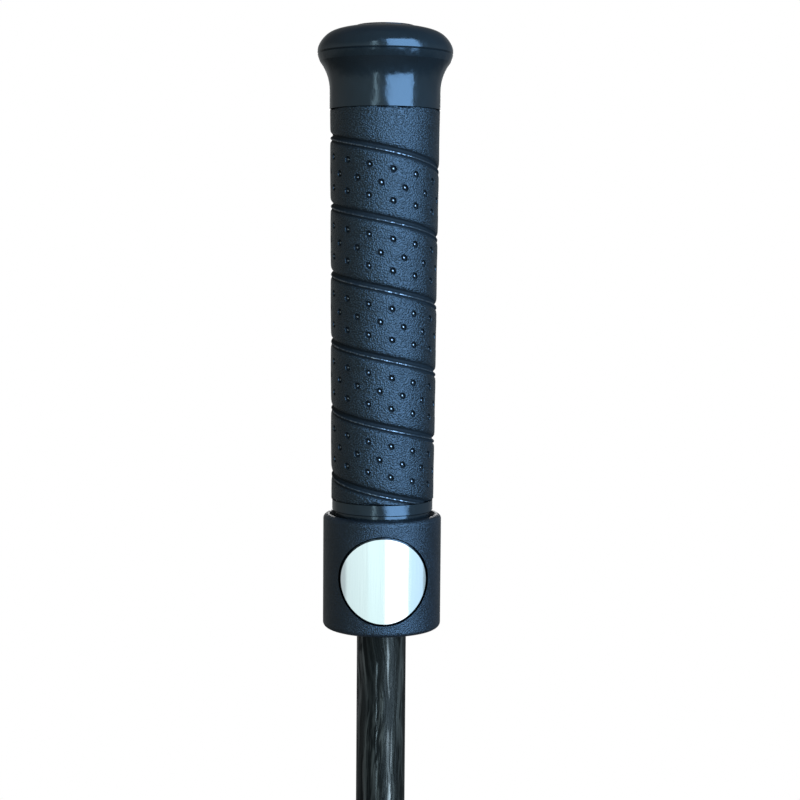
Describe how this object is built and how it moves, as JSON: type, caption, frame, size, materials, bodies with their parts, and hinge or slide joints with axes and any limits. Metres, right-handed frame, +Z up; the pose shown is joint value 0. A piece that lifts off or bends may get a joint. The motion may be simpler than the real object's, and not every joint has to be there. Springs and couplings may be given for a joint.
{
  "type": "curling broom",
  "caption": "Curling broom: wrapped grip with a push-button length lock, slim carbon shaft, and a swivelling head with a removable fabric sweeping pad.",
  "frame": {"origin": "on the ice, under the middle of the head's pad, with the handle at its shortest setting", "axes": "+Z up the shaft, +X along the head, the lock button faces -Y"},
  "size_m": [0.2, 0.07, 1.1182],
  "materials": {
    "carbon_shaft": "clear-coated unidirectional carbon fibre with wavy lengthwise streaks",
    "gloss_black": "glossy moulded black plastic",
    "matte_black": "fine-textured moulded black plastic",
    "grip_tape": "leather-grain polyurethane grip tape with rows of small dimples",
    "disc_metal": "satin turned aluminium",
    "steel": "plain steel",
    "black_steel": "black oxide steel",
    "bearing_plastic": "natural acetal",
    "fibreglass": "glass-filled liner",
    "rubber": "black rubber",
    "barrel_metal": "grey anodised aluminium",
    "hook_and_loop": "black hook and loop tape",
    "board": "stiff black plastic sheet",
    "foam": "closed-cell grey foam",
    "pad_cloth": "mustard woven nylon, plain weave"
  },
  "bodies": {
    "shaft": {"shaft_tube": "carbon_shaft", "index_liner": "fibreglass", "glide_bush": "bearing_plastic", "glide_pin": "steel", "shaft_ferrule": "matte_black", "ferrule_pin": "steel", "tongue_bush": "bearing_plastic"},
    "handle": {"handle_tube": "gloss_black", "end_cap": "gloss_black", "bumper": "rubber", "grip_wrap": "grip_tape", "collar": "matte_black", "collar_screws": "black_steel", "collar_cap": "matte_black", "wiper_ring": "rubber", "upper_bush": "bearing_plastic", "yoke_spring": "steel"},
    "button": {"push_button": "gloss_black", "button_plate": "disc_metal", "lock_yoke": "bearing_plastic", "yoke_screws": "steel", "lock_pin": "steel"},
    "barrel": {"pivot_barrel": "barrel_metal", "swivel_pin": "steel", "trunnion_pins": "steel"},
    "head": {"pivot_saddle": "matte_black", "ear_bushes": "bearing_plastic", "ear_caps": "gloss_black", "saddle_screws": "steel", "head_shell": "matte_black", "shell_floor": "board", "hook_tape": "hook_and_loop", "loop_tape": "hook_and_loop", "pad_board": "board", "foam_pad": "foam", "pad_cover": "pad_cloth"}
  },
  "joints": [
    {"name": "handle_slide", "type": "slide", "parent": "shaft", "child": "handle", "axis": [0, 0, 1], "range_m": [0, 0.09]},
    {"name": "button_press", "type": "slide", "parent": "handle", "child": "button", "axis": [0, 1, 0], "range_m": [0, 0.0026], "stiffness_N_per_m": 1200, "springref_m": -0.0015, "deforming": ["yoke_spring"]},
    {"name": "head_roll", "type": "hinge", "parent": "shaft", "child": "barrel", "pos_m": [0, 0, 0.0435], "axis": [0, 1, 0], "range_deg": [-40, 40]},
    {"name": "head_pitch", "type": "hinge", "parent": "barrel", "child": "head", "pos_m": [0, 0, 0.0435], "axis": [1, 0, 0], "range_deg": [-65, 65]}
  ]
}
